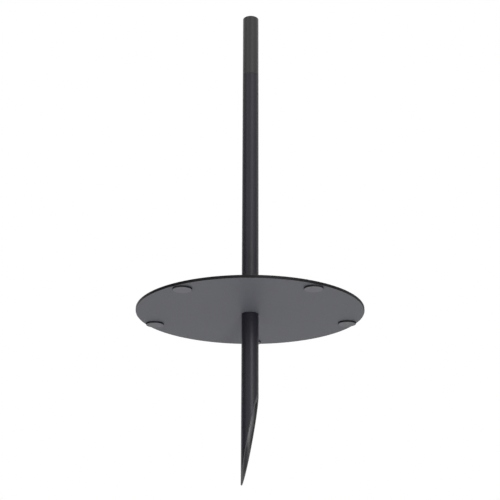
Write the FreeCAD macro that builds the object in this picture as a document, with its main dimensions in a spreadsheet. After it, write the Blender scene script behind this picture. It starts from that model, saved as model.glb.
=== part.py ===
import FreeCAD, Part
import os
import Sketcher

# Ground spike for a small garden lamp, in millimetres, +Z up.
# A round steel plate on five pads carries a tube pole in two lengths, and below it a slant-cut tube spike.
# Each tube end holds a threaded bush, and two headless studs screw the lengths and the plate together.
# The origin is the centre of the plate's underside, at ground level.

doc = FreeCAD.newDocument("GroundSpike")
sheet = doc.addObject("Spreadsheet::Sheet", "Sizes")

# The driving dimensions, each with what it measures
SIZES = [
    ("plate_diameter", 200, "base plate, across the disc"),
    ("plate_thickness", 2.5, "base plate, sheet thickness"),
    ("plate_edge_round", 0.4, "rounding of the plate's two rim edges"),
    ("plate_hole_clearance", 0.25, "gap round the stud in the plate's hole, on the radius"),
    ("tube_diameter", 15, "outside of the pole and the spike"),
    ("tube_wall", 1.5, "wall of the pole and the spike"),
    ("tube_end_chamfer", 0.2, "broken outer edge at each square tube end"),
    ("pole_length", 233.5, "lower pole tube, end to end"),
    ("top_length", 62, "upper pole tube, end to end"),
    ("spike_length", 148, "spike tube, from the plate down to its point"),
    ("cut_height", 77, "height of the spike's slanted cut"),
    ("cut_turn", -18, "degrees from +X round to the side where the cut starts"),
    ("point_land", 0.2, "depth of wall left square at the spike's point"),
    ("pad_diameter", 16, "foot pad, across the disc"),
    ("pad_thickness", 1.5, "foot pad, thickness"),
    ("pad_edge_round", 0.3, "rounding of a pad's lower edge"),
    ("pad_rim_gap", 1, "from the plate's rim in to a pad's edge"),
    ("pad_ring_turn", -1.4, "degrees that the ring of pads is turned from +Y"),
    ("bush_length", 20, "threaded bush, end to end"),
    ("bush_inset", 0.3, "depth of a bush inside its tube's end"),
    ("bush_lead_chamfer", 0.5, "chamfer at a bush's outer edges"),
    ("thread_diameter", 8, "bore of the bushes"),
    ("thread_countersink", 0.5, "chamfer at each mouth of a bush's bore"),
    ("thread_clearance", 0.05, "gap between stud and bore, on the radius"),
    ("plate_stud_length", 35, "stud through the plate, end to end"),
    ("pole_stud_length", 30, "stud between the pole's lengths, end to end"),
    ("stud_end_chamfer", 0.8, "chamfer at each end of a stud"),
    ("socket_across_flats", 4, "hexagon socket in a stud's upper end"),
    ("socket_depth", 5, "depth of the hexagon socket"),
]
PAD_COUNT = 5
HEXAGON_SIDES = 6
FULL_TURN = 360

# Two lengths that differ by less than this are the same one
SAME_LENGTH = 0.001

# How a sketch counts a line's or circle's points, and its own origin as a line and a point of it
START, END, CENTRE = 1, 2, 3
ORIGIN = (-1, START)

for row, (alias, value, note) in enumerate(SIZES, start=1):
    sheet.set(f"A{row}", note)
    sheet.set(f"B{row}", str(value))
    sheet.setAlias(f"B{row}", alias)
doc.recompute()

# Sizes that follow from the driving ones, as expressions of the sheet
TUBE_OUTSIDE = "Sizes.tube_diameter / 2"
TUBE_INSIDE = "(Sizes.tube_diameter / 2 - Sizes.tube_wall)"
THREAD_BORE = "Sizes.thread_diameter / 2"
STUD_RADIUS = "(Sizes.thread_diameter / 2 - Sizes.thread_clearance)"
SEAM_HEIGHT = "(Sizes.plate_thickness + Sizes.pole_length)"
POLE_TOP = f"({SEAM_HEIGHT} + Sizes.top_length)"
PAD_RING_RADIUS = "(Sizes.plate_diameter / 2 - Sizes.pad_rim_gap - Sizes.pad_diameter / 2)"


def size(alias):
    """The value of one driving dimension."""
    return float(sheet.get(alias))


def new_body(label):
    """An empty body that is named for its sub-part."""
    body = doc.addObject("PartDesign::Body", label)
    body.Label = label
    return body


def new_sketch(body, name, role):
    """An empty sketch on one of the body's own origin planes."""
    sketch = body.newObject("Sketcher::SketchObject", f"{body.Label}_{name}")
    plane = next(feature for feature in body.Origin.OriginFeatures if feature.Role == role)
    sketch.AttachmentSupport = [(plane, "")]
    sketch.MapMode = "FlatFace"
    return sketch


def bind(sketch, constraint, expression):
    """Adds a constraint and lets the sheet drive its value."""
    index = sketch.addConstraint(constraint)
    sketch.setExpression(f"Constraints[{index}]", expression)


def draw_circle(sketch, radius):
    """A circle about the sketch's origin."""
    rough = Part.Circle(FreeCAD.Vector(0, 0, 0), FreeCAD.Vector(0, 0, 1), 1)
    circle = sketch.addGeometry(rough, False)
    sketch.addConstraint(Sketcher.Constraint("Coincident", circle, CENTRE, *ORIGIN))
    bind(sketch, Sketcher.Constraint("Radius", circle, 1), radius)


def draw_outline(sketch, corners):
    """A closed outline of straight lines, whose corners are given as pairs of expressions."""
    count = len(corners)
    rough = [FreeCAD.Vector(index + 1, (index + 1) ** 2, 0) for index in range(count)]
    lines = [
        sketch.addGeometry(Part.LineSegment(rough[index], rough[(index + 1) % count]), False)
        for index in range(count)
    ]
    for index, (across, up) in enumerate(corners):
        corner = (lines[index], START)
        sketch.addConstraint(Sketcher.Constraint("Coincident", lines[index - 1], END, *corner))
        bind(sketch, Sketcher.Constraint("DistanceX", *ORIGIN, *corner, rough[index].x), across)
        bind(sketch, Sketcher.Constraint("DistanceY", *ORIGIN, *corner, rough[index].y), up)


def draw_hexagon(sketch, across_flats):
    """A regular hexagon about the sketch's origin, with two corners on the sketch's X axis."""
    step = FULL_TURN / HEXAGON_SIDES
    corner = f"{across_flats} / 2 / cos({step} deg / 2)"
    corners = [
        (f"{corner} * cos({side * step} deg)", f"{corner} * sin({side * step} deg)")
        for side in range(HEXAGON_SIDES)
    ]
    draw_outline(sketch, corners)


def extrude(body, sketch, length, downward=False):
    """A pad of the sketch, up from its plane or down from it."""
    pad = body.newObject("PartDesign::Pad", f"{body.Label}_pad")
    pad.Profile = sketch
    pad.setExpression("Length", length)
    pad.Reversed = downward
    doc.recompute()
    return pad


def turn(body, corners):
    """A full revolution about the body's Z axis of a half section in its XZ plane."""
    section = new_sketch(body, "section", "XZ_Plane")
    draw_outline(section, corners)
    revolution = body.newObject("PartDesign::Revolution", f"{body.Label}_turned")
    revolution.Profile = section
    revolution.ReferenceAxis = (section, ["V_Axis"])
    revolution.Angle = FULL_TURN
    doc.recompute()
    return revolution


def round_edges(shape, radius, height):
    """The names of the circular edges of one radius at one height."""
    names = []
    for number, edge in enumerate(shape.Edges, start=1):
        curve = edge.Curve
        if not isinstance(curve, Part.Circle):
            continue
        if abs(curve.Radius - radius) < SAME_LENGTH and abs(curve.Center.z - height) < SAME_LENGTH:
            names.append(f"Edge{number}")
    return names


def dress(body, kind, base, edges, property_name, expression):
    """A fillet or chamfer of the named edges of the body's last feature."""
    feature = body.newObject(f"PartDesign::{kind}", f"{body.Label}_{kind.lower()}")
    feature.Base = (base, edges)
    feature.setExpression(property_name, expression)
    doc.recompute()
    return feature


def check_cut(before, after):
    """Stops if a cut took nothing off its body."""
    if after.Shape.Volume >= before.Shape.Volume:
        raise RuntimeError(f"{after.Label} took nothing off")


def place(body, across="0", away="0", up="0", turned="0"):
    """Sets where the body stands, from expressions of the sheet."""
    spot = f"vector({across}; {away}; {up})"
    body.setExpression("Placement", f"placement({spot}; rotation(vector(0; 0; 1); ({turned}) * 1 deg))")


def base_plate():
    """Laser-cut disc with a clearance hole for the stud and a rounded rim."""
    body = new_body("base_plate")
    blank = new_sketch(body, "blank", "XY_Plane")
    draw_circle(blank, "Sizes.plate_diameter / 2")
    draw_circle(blank, "Sizes.thread_diameter / 2 + Sizes.plate_hole_clearance")
    disc = extrude(body, blank, "Sizes.plate_thickness")
    rim = round_edges(disc.Shape, size("plate_diameter") / 2, 0)
    rim += round_edges(disc.Shape, size("plate_diameter") / 2, size("plate_thickness"))
    dress(body, "Fillet", disc, rim, "Radius", "Sizes.plate_edge_round")
    place(body)
    return body


def straight_tube(label, length_alias, up):
    """A length of round tube with square ends, their outer edges broken."""
    body = new_body(label)
    ring = new_sketch(body, "ring", "XY_Plane")
    draw_circle(ring, TUBE_OUTSIDE)
    draw_circle(ring, TUBE_INSIDE)
    tube = extrude(body, ring, f"Sizes.{length_alias}")
    ends = round_edges(tube.Shape, size("tube_diameter") / 2, 0)
    ends += round_edges(tube.Shape, size("tube_diameter") / 2, size(length_alias))
    dress(body, "Chamfer", tube, ends, "Size", "Sizes.tube_end_chamfer")
    place(body, up=up)
    return body


def spike_tube():
    """A length of the same tube under the plate, sawn off at a long slant that lays its hollow open.

    The cut runs down from +X to -X and leaves a small square land at the point, and the body is then turned.
    """
    body = new_body("spike_tube")
    ring = new_sketch(body, "ring", "XY_Plane")
    draw_circle(ring, TUBE_OUTSIDE)
    draw_circle(ring, TUBE_INSIDE)
    tube = extrude(body, ring, "Sizes.spike_length", downward=True)
    upper_end = round_edges(tube.Shape, size("tube_diameter") / 2, 0)
    chamfered = dress(body, "Chamfer", tube, upper_end, "Size", "Sizes.tube_end_chamfer")

    wedge = new_sketch(body, "slant", "XZ_Plane")
    slope = "(Sizes.cut_height / (Sizes.tube_diameter - Sizes.point_land))"
    start = "(Sizes.cut_height - Sizes.spike_length)"
    clear = "Sizes.tube_wall"
    draw_outline(
        wedge,
        [
            (f"{TUBE_OUTSIDE} + {clear}", f"{start} + {clear} * {slope}"),
            (f"Sizes.point_land - {TUBE_OUTSIDE} - {clear} / {slope}", f"-Sizes.spike_length - {clear}"),
            (f"{TUBE_OUTSIDE} + {clear}", f"-Sizes.spike_length - {clear}"),
        ],
    )
    cut = body.newObject("PartDesign::Pocket", "spike_tube_slant_cut")
    cut.Profile = wedge
    cut.Type = "ThroughAll"
    cut.Midplane = True
    doc.recompute()
    check_cut(chamfered, cut)
    place(body, turned="Sizes.cut_turn")
    return body


def foot_pad(number):
    """A thin round pad stuck under the plate, its lower edge rounded. The ring of pads starts at +Y."""
    body = new_body(f"foot_pad_{number}")
    face = new_sketch(body, "face", "XY_Plane")
    draw_circle(face, "Sizes.pad_diameter / 2")
    disc = extrude(body, face, "Sizes.pad_thickness", downward=True)
    lower_edge = round_edges(disc.Shape, size("pad_diameter") / 2, -size("pad_thickness"))
    dress(body, "Fillet", disc, lower_edge, "Radius", "Sizes.pad_edge_round")
    angle = f"(Sizes.pad_ring_turn * 1 deg + {number - 1} * {FULL_TURN} deg / {PAD_COUNT})"
    place(body, across=f"-{PAD_RING_RADIUS} * sin({angle})", away=f"{PAD_RING_RADIUS} * cos({angle})")
    return body


def bush(label, foot):
    """A turned bush pressed into a tube's end, with its bore countersunk at both mouths."""
    body = new_body(label)
    lead, sink, top = "Sizes.bush_lead_chamfer", "Sizes.thread_countersink", "Sizes.bush_length"
    turn(
        body,
        [
            (f"{THREAD_BORE} + {sink}", "0"),
            (f"{TUBE_INSIDE} - {lead}", "0"),
            (TUBE_INSIDE, lead),
            (TUBE_INSIDE, f"{top} - {lead}"),
            (f"{TUBE_INSIDE} - {lead}", top),
            (f"{THREAD_BORE} + {sink}", top),
            (THREAD_BORE, f"{top} - {sink}"),
            (THREAD_BORE, sink),
        ],
    )
    place(body, up=foot)
    return body


def stud(label, length_alias, middle):
    """A headless stud, centred on the joint that it holds, with a hexagon socket in its upper end."""
    body = new_body(label)
    half = f"Sizes.{length_alias} / 2"
    chamfer = "Sizes.stud_end_chamfer"
    rod = turn(
        body,
        [
            ("0", f"-{half}"),
            (f"{STUD_RADIUS} - {chamfer}", f"-{half}"),
            (STUD_RADIUS, f"{chamfer} - {half}"),
            (STUD_RADIUS, f"{half} - {chamfer}"),
            (f"{STUD_RADIUS} - {chamfer}", half),
            ("0", half),
        ],
    )
    hexagon = new_sketch(body, "hexagon", "XY_Plane")
    upper_end = f"placement(vector(0; 0; {half}); rotation(vector(0; 0; 1); 0 deg))"
    hexagon.setExpression("AttachmentOffset", upper_end)
    draw_hexagon(hexagon, "Sizes.socket_across_flats")
    socket = body.newObject("PartDesign::Pocket", f"{label}_socket")
    socket.Profile = hexagon
    socket.setExpression("Length", "Sizes.socket_depth")
    doc.recompute()
    check_cut(rod, socket)
    place(body, up=middle)
    return body


def check(bodies):
    """Stops if any object of the document failed, or if a sub-part isn't one valid solid."""
    for item in doc.Objects:
        if "Invalid" in item.State or "Error" in item.State:
            raise RuntimeError(f"{item.Label} failed to recompute")
    for body in bodies:
        if body.Shape.isNull() or not body.Shape.isValid() or len(body.Shape.Solids) != 1:
            raise RuntimeError(f"{body.Label} isn't one valid solid")


def write(bodies):
    """Writes each sub-part to a file of its own."""
    os.makedirs("parts", exist_ok=True)
    for body in bodies:
        body.Shape.exportStep(f"parts/{body.Label}.step")
        box = body.Shape.BoundBox
        print(f"{body.Label}: z {box.ZMin:.2f} to {box.ZMax:.2f}, {body.Shape.Volume / 1000:.2f} cm3")


parts = [
    base_plate(),
    straight_tube("pole_tube", "pole_length", up="Sizes.plate_thickness"),
    straight_tube("top_tube", "top_length", up=SEAM_HEIGHT),
    spike_tube(),
]
parts += [foot_pad(number) for number in range(1, PAD_COUNT + 1)]
parts += [
    bush("spike_bush", "-Sizes.bush_inset - Sizes.bush_length"),
    bush("pole_foot_bush", "Sizes.plate_thickness + Sizes.bush_inset"),
    bush("pole_head_bush", f"{SEAM_HEIGHT} - Sizes.bush_inset - Sizes.bush_length"),
    bush("top_foot_bush", f"{SEAM_HEIGHT} + Sizes.bush_inset"),
    bush("top_head_bush", f"{POLE_TOP} - Sizes.bush_inset - Sizes.bush_length"),
    stud("plate_stud", "plate_stud_length", "Sizes.plate_thickness / 2"),
    stud("pole_stud", "pole_stud_length", SEAM_HEIGHT),
]
doc.recompute()
check(parts)
write(parts)
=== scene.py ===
import math

import bmesh
import bpy
from mathutils import Matrix, Vector


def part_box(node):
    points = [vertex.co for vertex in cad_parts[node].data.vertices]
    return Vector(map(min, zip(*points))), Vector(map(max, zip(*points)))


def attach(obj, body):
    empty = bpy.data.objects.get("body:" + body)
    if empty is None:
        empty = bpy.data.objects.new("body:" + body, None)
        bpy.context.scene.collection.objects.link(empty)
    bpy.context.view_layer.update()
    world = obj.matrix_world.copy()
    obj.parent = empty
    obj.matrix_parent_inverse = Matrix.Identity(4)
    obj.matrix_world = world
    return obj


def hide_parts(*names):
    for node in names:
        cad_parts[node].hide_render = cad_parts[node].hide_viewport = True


# The finish of a ground spike: a round plate on pads, a pole in two lengths above it and a slant-cut spike below,
# in near-black satin powder coat. Lengths are metres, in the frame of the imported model.

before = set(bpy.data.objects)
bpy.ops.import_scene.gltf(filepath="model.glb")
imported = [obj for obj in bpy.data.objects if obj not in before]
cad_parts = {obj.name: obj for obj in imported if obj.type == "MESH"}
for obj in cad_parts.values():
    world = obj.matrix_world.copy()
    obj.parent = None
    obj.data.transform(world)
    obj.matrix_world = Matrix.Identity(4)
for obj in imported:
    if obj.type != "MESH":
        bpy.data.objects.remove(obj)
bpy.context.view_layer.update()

MM = 0.001
ORIGIN = Vector((0, 0, 0))

PADS = [f"foot_pad_{number}" for number in range(1, 6)]
BUSHES = ["spike_bush", "pole_foot_bush", "pole_head_bush", "top_foot_bush", "top_head_bush"]
STUDS = ["plate_stud", "pole_stud"]

# The spike's slanted cut, as in the part's source. It starts on one side of the tube and runs down to the tip on the
# other side, and its face looks out and down along the normal.
CUT_TURN = math.radians(-18)
CUT_WIDTH = 14.8 * MM
CUT_HEIGHT = 77 * MM
TIP_RADIUS = 7.3 * MM
TIP_HEIGHT = -148 * MM
CUT_SIDE = Vector((math.cos(CUT_TURN), math.sin(CUT_TURN), 0))
CUT_SLANT = math.atan2(CUT_WIDTH, CUT_HEIGHT)
CUT_NORMAL = CUT_SIDE * math.cos(CUT_SLANT) - Vector((0, 0, math.sin(CUT_SLANT)))
TIP = Vector((0, 0, TIP_HEIGHT)) - CUT_SIDE * TIP_RADIUS

# Upward part of a face's normal: up to the first it looks straight down, and from the second on it doesn't
LOOKS_DOWN = (-0.995, -0.95)

# Between these radii, inside the tube's wall, the bore's finish gives way to the outside's
BORE_FINISH_TO = 6.1 * MM
OUTER_FINISH_FROM = 6.9 * MM

# Where the spike's bore turns to a lighter grey: by the depth under the cut, measured from the cut's plane, with a
# patchy drift, and by the height above the open tip. The grey is partly bare steel where sprayed powder thins out, and
# partly a painted bright reflection, with the dark coat kept where the bore is in shade
BARE_AND_PAINTED_LIGHT_DEPTH = (-0.2 * MM, 3.4 * MM)
BARE_AND_PAINTED_LIGHT_HEIGHT = (-117 * MM, -97 * MM)
BARE_AND_PAINTED_LIGHT_DRIFT = 0.6 * MM
BARE_AND_PAINTED_LIGHT_PATCH = 2 * MM

# Powder coat: the width of its orange peel's waves and of its fine grain, and the grain's part in the roughness
PEEL_WIDTH = 2.2 * MM
COAT_GRAIN = 0.35 * MM
GRAIN_ROUGHNESS = 0.04

# Width of the talc's flecks on rubber and of the clouds in zinc plating
TALC_GRAIN = 0.5 * MM
ZINC_CLOUD = 3 * MM

# The lathe tool's step per turn. The wave node goes through this many radians for each unit of its scaled height, and
# draws a ring at every turn of a circle.
LATHE_FEED = 0.4 * MM
WAVE_RADIANS = 20


# Colours and shader nodes

def paint(code):
    """The linear colour, with alpha, of an sRGB hex code."""
    channels = [int(code[index:index + 2], 16) / 255 for index in (1, 3, 5)]
    linear = [c / 12.92 if c <= 0.04045 else ((c + 0.055) / 1.055) ** 2.4 for c in channels]
    return (*linear, 1)


def add(tree, kind, links=None, **settings):
    """Adds a node, sets its properties or input values, and links its inputs.

    settings holds properties of the node and, where no property has the name, values of its inputs, with _ for a
    space. links maps an input's name or number to the output that feeds it.
    """
    node = tree.nodes.new(kind)
    for name, value in settings.items():
        if hasattr(node, name):
            setattr(node, name, value)
        else:
            node.inputs[name.replace("_", " ")].default_value = value
    for name, output in (links or {}).items():
        tree.links.new(output, node.inputs[name])
    return node


def new_material(name, specular=0.5):
    """A material with a Principled shader and Object coordinates, as its tree, shader and coordinates."""
    material = bpy.data.materials.new(name)
    material.use_nodes = True
    tree = material.node_tree
    shader = tree.nodes["Principled BSDF"]
    shader.inputs["Specular IOR Level"].default_value = specular
    place = add(tree, "ShaderNodeTexCoord").outputs["Object"]
    return material, tree, shader, place


def noise(tree, place, size, detail=2.0):
    """Noise whose blotches are about one size across."""
    return add(tree, "ShaderNodeTexNoise", {"Vector": place}, Scale=1 / size, Detail=detail).outputs["Fac"]


def spread(tree, value, low, high, start=0.0, end=1.0):
    """A value's range from start to end turned to another range, and held at its ends."""
    return add(
        tree, "ShaderNodeMapRange", {"Value": value}, From_Min=start, From_Max=end, To_Min=low, To_Max=high
    ).outputs["Result"]


def blend(tree, share, first, second):
    """A colour that goes from the first to the second with share. Each is a hex code or another node's colour."""
    mix = add(tree, "ShaderNodeMix", {"Factor": share}, data_type="RGBA")
    for name, colour in (("A", first), ("B", second)):
        socket = next(item for item in mix.inputs if item.name == name and item.type == "RGBA")
        if isinstance(colour, str):
            socket.default_value = paint(colour)
        else:
            tree.links.new(colour, socket)
    return next(item for item in mix.outputs if item.type == "RGBA")


def painted_light_from_below(tree, place):
    """1 on faces that look straight down, and 0 on walls and upper faces, wherever the place is."""
    # This mask carries the light from below that is painted into the plate's underside and the pads' faces
    normal = add(tree, "ShaderNodeNewGeometry").outputs["Normal"]
    upward = add(tree, "ShaderNodeSeparateXYZ", {"Vector": normal}).outputs["Z"]
    full, none = LOOKS_DOWN
    return spread(tree, upward, 1, 0, start=full, end=none)


def in_bore(tree, place):
    """1 inside a tube's bore, and 0 outside its wall."""
    flat = add(tree, "ShaderNodeVectorMath", {0: place}, operation="MULTIPLY")
    flat.inputs[1].default_value = (1, 1, 0)
    radius = add(tree, "ShaderNodeVectorMath", {0: flat.outputs["Vector"]}, operation="LENGTH").outputs["Value"]
    return spread(tree, radius, 1, 0, start=BORE_FINISH_TO, end=OUTER_FINISH_FROM)


def bare_steel_and_painted_light(tree, place):
    """1 where sprayed powder doesn't reach: in the bore, away from the slanted cut's edge and from the open tip.

    It fades out in patchy overspray over a few millimetres under the cut. Its lighter grey is partly that bare steel
    and
    partly painted light: a painted bright reflection where the bore shows one, with the dark coat kept where it is in
    shade.
    """
    inward = add(tree, "ShaderNodeVectorMath", {0: place}, operation="DOT_PRODUCT")
    inward.inputs[1].default_value = -CUT_NORMAL
    drift = spread(tree, noise(tree, place, BARE_AND_PAINTED_LIGHT_PATCH), -BARE_AND_PAINTED_LIGHT_DRIFT, BARE_AND_PAINTED_LIGHT_DRIFT)
    drifted = add(tree, "ShaderNodeMath", {0: inward.outputs["Value"], 1: drift}, operation="ADD").outputs[0]
    cut_plane = -CUT_NORMAL.dot(TIP)
    first, last = (cut_plane + depth for depth in BARE_AND_PAINTED_LIGHT_DEPTH)
    from_edge = spread(tree, drifted, 0, 1, start=first, end=last)
    height = add(tree, "ShaderNodeSeparateXYZ", {"Vector": place}).outputs["Z"]
    low, high = BARE_AND_PAINTED_LIGHT_HEIGHT
    from_tip = spread(tree, height, 0, 1, start=low, end=high)
    share = add(tree, "ShaderNodeMath", {0: from_edge, 1: from_tip}, operation="MULTIPLY").outputs[0]
    return add(tree, "ShaderNodeMath", {0: share, 1: in_bore(tree, place)}, operation="MULTIPLY").outputs[0]


def powder_coat(name, colour, speckle, roughness, specular, patches=()):
    """Satin polyester powder coat, sprayed on steel and baked.

    It flows out to a shallow orange peel that softens every reflection, with a fine grain where the powder flowed
    less. Each patch is a function that gives its share at each place, with its own colour and roughness.
    """
    material, tree, shader, place = new_material(name, specular)
    peel = noise(tree, place, PEEL_WIDTH, detail=1.0)
    grain = noise(tree, place, COAT_GRAIN)
    tone = blend(tree, grain, colour, speckle)
    rough = spread(tree, grain, roughness - GRAIN_ROUGHNESS, roughness + GRAIN_ROUGHNESS)
    for patch, patch_colour, patch_roughness in patches:
        share = patch(tree, place)
        tone = blend(tree, share, tone, patch_colour)
        change = spread(tree, share, 0, patch_roughness - roughness)
        rough = add(tree, "ShaderNodeMath", {0: rough, 1: change}, operation="ADD").outputs[0]
    tree.links.new(tone, shader.inputs["Base Color"])
    tree.links.new(rough, shader.inputs["Roughness"])
    wave = add(tree, "ShaderNodeBump", {"Height": peel}, Strength=0.15, Distance=0.02 * MM)
    dust = add(
        tree, "ShaderNodeBump", {"Height": grain, "Normal": wave.outputs["Normal"]}, Strength=0.1, Distance=0.01 * MM
    )
    tree.links.new(dust.outputs["Normal"], shader.inputs["Normal"])
    return material


def rubber(name):
    """Die-cut EPDM rubber sheet.

    The rubber is near-black and matt, with flecks of talc. Its flat face is painted mid grey, a painted light from
    below, and its cut wall keeps the rubber's own near-black.
    """
    material, tree, shader, place = new_material(name, specular=0.25)
    grain = noise(tree, place, TALC_GRAIN)
    # Painted light: the face that looks down gets a mid grey for the light from below, and the wall keeps the rubber's
    # near-black
    wall = blend(tree, grain, "#141415", "#1a1a1b")
    face = blend(tree, grain, "#66666b", "#6c6c71")
    share = painted_light_from_below(tree, place)
    tree.links.new(blend(tree, share, wall, face), shader.inputs["Base Color"])
    tree.links.new(spread(tree, grain, 0.55, 0.65), shader.inputs["Roughness"])
    bump = add(tree, "ShaderNodeBump", {"Height": grain}, Strength=0.2, Distance=0.02 * MM)
    tree.links.new(bump.outputs["Normal"], shader.inputs["Normal"])
    return material


def zinc_steel(name, bright, dull):
    """Turned steel with a zinc plating: fine rings from the lathe tool under a slightly cloudy bright layer."""
    material, tree, shader, place = new_material(name)
    cloud = noise(tree, place, ZINC_CLOUD)
    shader.inputs["Metallic"].default_value = 1
    tree.links.new(blend(tree, cloud, dull, bright), shader.inputs["Base Color"])
    rings = add(
        tree, "ShaderNodeTexWave", {"Vector": place}, bands_direction="Z", Distortion=0.4,
        Scale=math.tau / WAVE_RADIANS / LATHE_FEED,
    ).outputs["Fac"]
    tree.links.new(spread(tree, cloud, 0.28, 0.42), shader.inputs["Roughness"])
    bump = add(tree, "ShaderNodeBump", {"Height": rings}, Strength=0.1, Distance=0.01 * MM)
    tree.links.new(bump.outputs["Normal"], shader.inputs["Normal"])
    return material


def dress(names, material):
    """Gives one material to the named nodes of the frame."""
    for name in names:
        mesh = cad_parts[name].data
        mesh.materials.clear()
        mesh.materials.append(material)


bush_steel = zinc_steel("turned_zinc_plated_steel", "#c4c3bd", "#a9a8a3")
stud_steel = zinc_steel("rolled_zinc_plated_steel", "#c2c3c2", "#a5a6a4")

# Near-black satin coat with a cool tint. It is thin in the bore, and the spike's bore shows nearly bare steel inside,
# made lighter there as a painted bright reflection.
dress(
    ["pole_tube", "spike_tube"],
    powder_coat(
        "satin_powder_coat", "#1e1c23", "#24222a", 0.34, 0.31,
        patches=[(in_bore, "#262427", 0.36), (bare_steel_and_painted_light, "#7c7b7d", 0.36)],
    ),
)

# The upper length of the pole has a slightly lighter, neutral coat
dress(["top_tube"], powder_coat("fine_texture_powder_coat", "#2b2b2b", "#313131", 0.30, 0.3))

# The plate's coat is dull and darker. Its underside is painted a matt grey, a painted light from below on the same
# coat.
dress(
    ["base_plate"],
    powder_coat(
        "plate_powder_coat", "#0c0c0e", "#101012", 0.48, 0.16,
        patches=[(painted_light_from_below, "#5b5c62", 0.55)],
    ),
)
dress(PADS, rubber("die_cut_epdm_rubber"))


# Screw threads of the bushes and studs, all cut on one helix so that they nest

PITCH = 1.25 * MM
STEPS_PER_TURN = 36

# Radii of the stud's thread. The bush's are larger by the clearance
GROOVE = 3.3 * MM
CREST = 3.95 * MM
THREAD_CLEARANCE = 0.05 * MM

STUD_CHAMFER = 0.8 * MM
COUNTERSINK = 0.5 * MM
LEAD_CHAMFER = 0.5 * MM
SOCKET_SIDES = 6
SOCKET_ACROSS_FLATS = 4 * MM
SOCKET_DEPTH = 5 * MM

# Points nearer than the first are joined, and heights nearer than the second are one height. Edges that turn by more
# than the angle are sharp.
WELD = 0.001 * MM
SAME_HEIGHT = 0.01 * MM
SHARP = math.radians(25)

# Where the line of the thread's section turns, as a share of the pitch, and its depth there from groove to crest
SECTION = [(0, 0), (0.25, 0), (0.5625, 1), (0.6875, 1), (1, 0)]


def helix(shape, bottom, top, groove, crest):
    """A thread's skin between two heights, open at both ends. One turn is swept and then repeated upward."""
    first = math.floor(bottom / PITCH) - 1
    turns = math.ceil(top / PITCH) + 1 - first
    corners = [
        shape.verts.new((groove + depth * (crest - groove), 0, (first + share) * PITCH)) for share, depth in SECTION
    ]
    edges = [shape.edges.new(pair) for pair in zip(corners, corners[1:])]
    bmesh.ops.spin(
        shape, geom=corners + edges, cent=ORIGIN, axis=(0, 0, 1), dvec=(0, 0, PITCH / STEPS_PER_TURN),
        angle=math.tau, steps=STEPS_PER_TURN,
    )
    one_turn = shape.verts[:] + shape.edges[:] + shape.faces[:]
    for number in range(1, turns):
        copy = bmesh.ops.duplicate(shape, geom=one_turn)["geom"]
        raised = [item for item in copy if isinstance(item, bmesh.types.BMVert)]
        bmesh.ops.translate(shape, verts=raised, vec=(0, 0, number * PITCH))
    bmesh.ops.remove_doubles(shape, verts=shape.verts, dist=WELD)
    for height, side in ((bottom, -1), (top, 1)):
        bmesh.ops.bisect_plane(
            shape, geom=shape.verts[:] + shape.edges[:] + shape.faces[:], dist=WELD,
            plane_co=(0, 0, height), plane_no=(0, 0, side), clear_outer=True,
        )


def rim_edges(shape, height):
    """The open edges that lie at one height."""
    return [
        edge for edge in shape.edges
        if edge.is_boundary and all(abs(corner.co.z - height) < SAME_HEIGHT for corner in edge.verts)
    ]


def hold_radius(shape, keep):
    """Moves each point in or out to the radius that keep gives for its own radius and height."""
    for corner in shape.verts:
        radius = math.hypot(corner.co.x, corner.co.y)
        factor = keep(radius, corner.co.z) / radius
        corner.co.x *= factor
        corner.co.y *= factor


def finish_piece(name, shape, material, node):
    """Makes the piece's object, which stands for a node of the frame."""
    bmesh.ops.remove_doubles(shape, verts=shape.verts, dist=WELD)
    bmesh.ops.recalc_face_normals(shape, faces=shape.faces)
    for face in shape.faces:
        face.smooth = True
    mesh = bpy.data.meshes.new(name)
    shape.to_mesh(mesh)
    shape.free()
    mesh.set_sharp_from_angle(angle=SHARP)
    mesh.materials.append(material)
    piece = bpy.data.objects.new(name, mesh)
    bpy.context.scene.collection.objects.link(piece)
    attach(piece, "root")
    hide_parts(node)
    return piece


def threaded_stud(node):
    """A headless screw with its thread from end to end, chamfered ends and a hexagon socket in the upper one."""
    low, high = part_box(node)
    bottom, top = low.z, high.z
    shape = bmesh.new()
    helix(shape, bottom, top, GROOVE, CREST)
    end_radius = CREST - STUD_CHAMFER
    hold_radius(shape, lambda radius, z: min(radius, end_radius + min(z - bottom, top - z)))
    bmesh.ops.contextual_create(shape, geom=rim_edges(shape, bottom))
    half_side = math.pi / SOCKET_SIDES
    corner_radius = SOCKET_ACROSS_FLATS / 2 / math.cos(half_side)
    mouth = bmesh.ops.create_circle(shape, segments=SOCKET_SIDES, radius=corner_radius)
    turned = Matrix.Rotation(half_side, 4, "Z")
    bmesh.ops.transform(shape, matrix=Matrix.Translation((0, 0, top)) @ turned, verts=mouth["verts"])
    mouth_edges = list({edge for corner in mouth["verts"] for edge in corner.link_edges})
    bmesh.ops.triangle_fill(shape, use_beauty=True, edges=rim_edges(shape, top) + mouth_edges)
    wall = bmesh.ops.extrude_edge_only(shape, edges=mouth_edges)["geom"]
    foot = [item for item in wall if isinstance(item, bmesh.types.BMVert)]
    bmesh.ops.translate(shape, verts=foot, vec=(0, 0, -SOCKET_DEPTH))
    bmesh.ops.contextual_create(shape, geom=rim_edges(shape, top - SOCKET_DEPTH))
    piece = finish_piece(f"threaded_{node}", shape, stud_steel, node)


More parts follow.
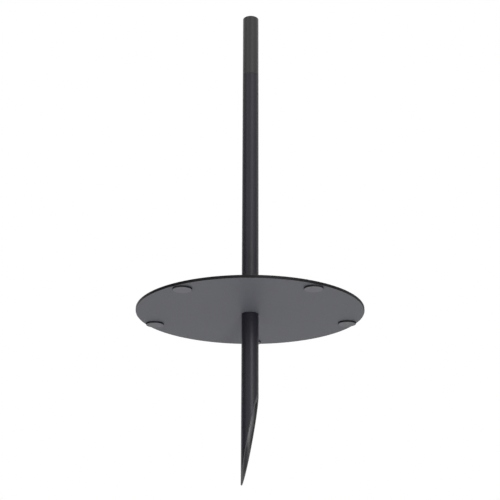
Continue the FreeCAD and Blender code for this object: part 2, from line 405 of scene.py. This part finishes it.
def threaded_bush(node):
    """A turned bush, its outer edges chamfered, with a thread right through and a countersink at both mouths."""
    low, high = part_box(node)
    bottom, top, outside = low.z, high.z, high.x
    shape = bmesh.new()
    helix(shape, bottom, top, GROOVE + THREAD_CLEARANCE, CREST + THREAD_CLEARANCE)
    mouth_radius = CREST + THREAD_CLEARANCE + COUNTERSINK
    hold_radius(shape, lambda radius, z: max(radius, mouth_radius - min(z - bottom, top - z)))
    mouths = [rim_edges(shape, height) for height in (bottom, top)]
    corners = [
        shape.verts.new(spot) for spot in (
            (outside - LEAD_CHAMFER, 0, bottom), (outside, 0, bottom + LEAD_CHAMFER),
            (outside, 0, top - LEAD_CHAMFER), (outside - LEAD_CHAMFER, 0, top),
        )
    ]
    edges = [shape.edges.new(pair) for pair in zip(corners, corners[1:])]
    bmesh.ops.spin(
        shape, geom=corners + edges, cent=ORIGIN, axis=(0, 0, 1), angle=math.tau, steps=2 * STEPS_PER_TURN,
        use_merge=True,
    )
    for height, mouth in zip((bottom, top), mouths):
        outer = [edge for edge in rim_edges(shape, height) if edge not in mouth]
        bmesh.ops.bridge_loops(shape, edges=mouth + outer)
    piece = finish_piece(f"threaded_{node}", shape, bush_steel, node)


for node in STUDS:
    threaded_stud(node)
for node in BUSHES:
    threaded_bush(node)


# Floor, flags, light and camera

def shown_rays(tree):
    """1 for rays that show the surroundings to the eye, in view or in a reflection, and 0 for those that only light."""
    rays = add(tree, "ShaderNodeLightPath")
    shown = rays.outputs["Is Camera Ray"]
    for kind in ("Is Glossy Ray", "Is Transmission Ray"):
        shown = add(tree, "ShaderNodeMath", {0: shown, 1: rays.outputs[kind]}, operation="MAXIMUM").outputs[0]
    return shown


def board(name, width, tall, material):
    """A flat board of the studio in its own XY plane."""
    shape = bmesh.new()
    bmesh.ops.create_grid(shape, x_segments=1, y_segments=1, size=0.5)
    bmesh.ops.scale(shape, vec=(width, tall, 1), verts=shape.verts)
    mesh = bpy.data.meshes.new(name)
    shape.to_mesh(mesh)
    shape.free()
    mesh.materials.append(material)
    item = bpy.data.objects.new(name, mesh)
    bpy.context.scene.collection.objects.link(item)
    return item


def face_middle(item, azimuth, elevation, distance):
    """Stands a lamp or a board round the object, square to the line from the object's middle.

    azimuth is in degrees to the right of the side that faces the camera, and elevation in degrees above the level.
    """
    turn, tilt = math.radians(azimuth), math.radians(elevation)
    outward = Vector((math.sin(turn) * math.cos(tilt), -math.cos(turn) * math.cos(tilt), math.sin(tilt)))
    item.location = MIDDLE + outward * distance
    item.rotation_mode = "QUATERNION"
    item.rotation_quaternion = outward.to_track_quat("Z", "Y")


def across(angle, distance):
    """The width that fills an angle, in degrees, at a distance."""
    return 2 * distance * math.tan(math.radians(angle) / 2)


# The white surround's radiance where it only lights. It shows as 1 to the eye
SOFT_LEVEL = 0.65

# Lamps and flags stand round a point near the object's middle
MIDDLE = Vector((0, 0, 0.07))
LAMP_DISTANCE = 1.5
FLAG_DISTANCE = 1.7

# To the eye this share of the floor glows white near the middle, where the object's shadow may fall, and all of it
# farther out
FLOOR_HEIGHT = -1.25
FLOOR_SIZE = 120
FLOOR_GLOW = 0.6
SHADOW_REACH = 1.5
WHITE_FROM = 5

# Grey felt flags, hidden from the camera: their height in degrees, and each one's name, azimuth and width in degrees
FLAG_TALL = 70
FLAGS = [("left_flag", -93, 64), ("right_flag", 86, 20), ("rear_flag", 138, 12)]

# Each softbox's name, azimuth, elevation, width and height in degrees, and radiance
SOFTBOXES = [
    ("upper_key_light", 22, 30, 30, 17, 1.45),
    ("middle_key_light", 22, 5, 28, 18, 3.9),
    ("low_key_light", 12, -33, 8, 10, 43),
    ("left_light", -44, 36, 16, 26, 0.5),
    ("back_light", 180, 20, 24, 50, 1.5),
    ("overhead_light", 0, 90, 90, 90, 0.4),
]

floor_material, tree, floor_shader, place = new_material("pale_floor")
floor_shader.inputs["Base Color"].default_value = paint("#f0f0f0")
floor_shader.inputs["Roughness"].default_value = 0.9
glow = add(tree, "ShaderNodeEmission", Color=paint("#ffffff"), Strength=1)
away = add(tree, "ShaderNodeVectorMath", {0: place}, operation="LENGTH").outputs["Value"]
fade = spread(tree, away, FLOOR_GLOW, 1, start=SHADOW_REACH, end=WHITE_FROM)
share = add(tree, "ShaderNodeMath", {0: shown_rays(tree), 1: fade}, operation="MULTIPLY").outputs[0]
mixed = add(tree, "ShaderNodeMixShader", {0: share, 1: floor_shader.outputs[0], 2: glow.outputs[0]})
tree.links.new(mixed.outputs[0], tree.nodes["Material Output"].inputs["Surface"])
floor = board("floor", FLOOR_SIZE, FLOOR_SIZE, floor_material)
floor.location.z = FLOOR_HEIGHT

flag_material, _, flag_shader, _ = new_material("grey_flag_felt", specular=0.1)
flag_shader.inputs["Base Color"].default_value = paint("#8c8c8c")
flag_shader.inputs["Roughness"].default_value = 1
for name, azimuth, wide in FLAGS:
    flag = board(name, across(wide, FLAG_DISTANCE), across(FLAG_TALL, FLAG_DISTANCE), flag_material)
    face_middle(flag, azimuth, 0, FLAG_DISTANCE)
    flag.visible_camera = False

world = bpy.data.worlds.new("studio")
bpy.context.scene.world = world
world.use_nodes = True
tree = world.node_tree
tree.nodes.clear()
soft = add(tree, "ShaderNodeBackground", Color=paint("#ffffff"), Strength=SOFT_LEVEL)
white = add(tree, "ShaderNodeBackground", Color=paint("#ffffff"), Strength=1)
mixed = add(tree, "ShaderNodeMixShader", {0: shown_rays(tree), 1: soft.outputs[0], 2: white.outputs[0]})
add(tree, "ShaderNodeOutputWorld", {"Surface": mixed.outputs[0]})

for name, azimuth, elevation, wide, tall, radiance in SOFTBOXES:
    lamp = bpy.data.lights.new(name, "AREA")
    lamp.shape = "RECTANGLE"
    lamp.size = across(wide, LAMP_DISTANCE)
    lamp.size_y = across(tall, LAMP_DISTANCE)
    lamp.energy = radiance * math.pi * lamp.size * lamp.size_y
    holder = bpy.data.objects.new(name, lamp)
    bpy.context.scene.collection.objects.link(holder)
    face_middle(holder, azimuth, elevation, LAMP_DISTANCE)
    holder.visible_camera = False

# The camera, matched to the photograph: it looks up at the object from below, and its focal length is in pixels of
# the square picture
CAMERA_DISTANCE = 0.9802
CAMERA_PITCH = math.radians(20.14)
CAMERA_ROLL = math.radians(0.14)
CAMERA_TARGET = Vector((-0.0002, 0, 0.05992))
FOCAL_PIXELS = 1093.6
FRAME_PIXELS = 500
SENSOR_WIDTH = 36

back = Vector((0, -math.cos(CAMERA_PITCH), -math.sin(CAMERA_PITCH)))
level_right = Vector((1, 0, 0))
level_up = back.cross(level_right)
right = level_right * math.cos(CAMERA_ROLL) + level_up * math.sin(CAMERA_ROLL)
up = level_up * math.cos(CAMERA_ROLL) - level_right * math.sin(CAMERA_ROLL)
camera_data = bpy.data.cameras.new("camera")
camera_data.sensor_width = SENSOR_WIDTH
camera_data.lens = FOCAL_PIXELS / FRAME_PIXELS * SENSOR_WIDTH
camera = bpy.data.objects.new("camera", camera_data)
camera.matrix_world = Matrix.Translation(CAMERA_TARGET + back * CAMERA_DISTANCE) @ Matrix(
    (right, up, back)
).transposed().to_4x4()
bpy.context.scene.collection.objects.link(camera)
bpy.context.scene.camera = camera
bpy.context.scene.view_settings.view_transform = "Standard"
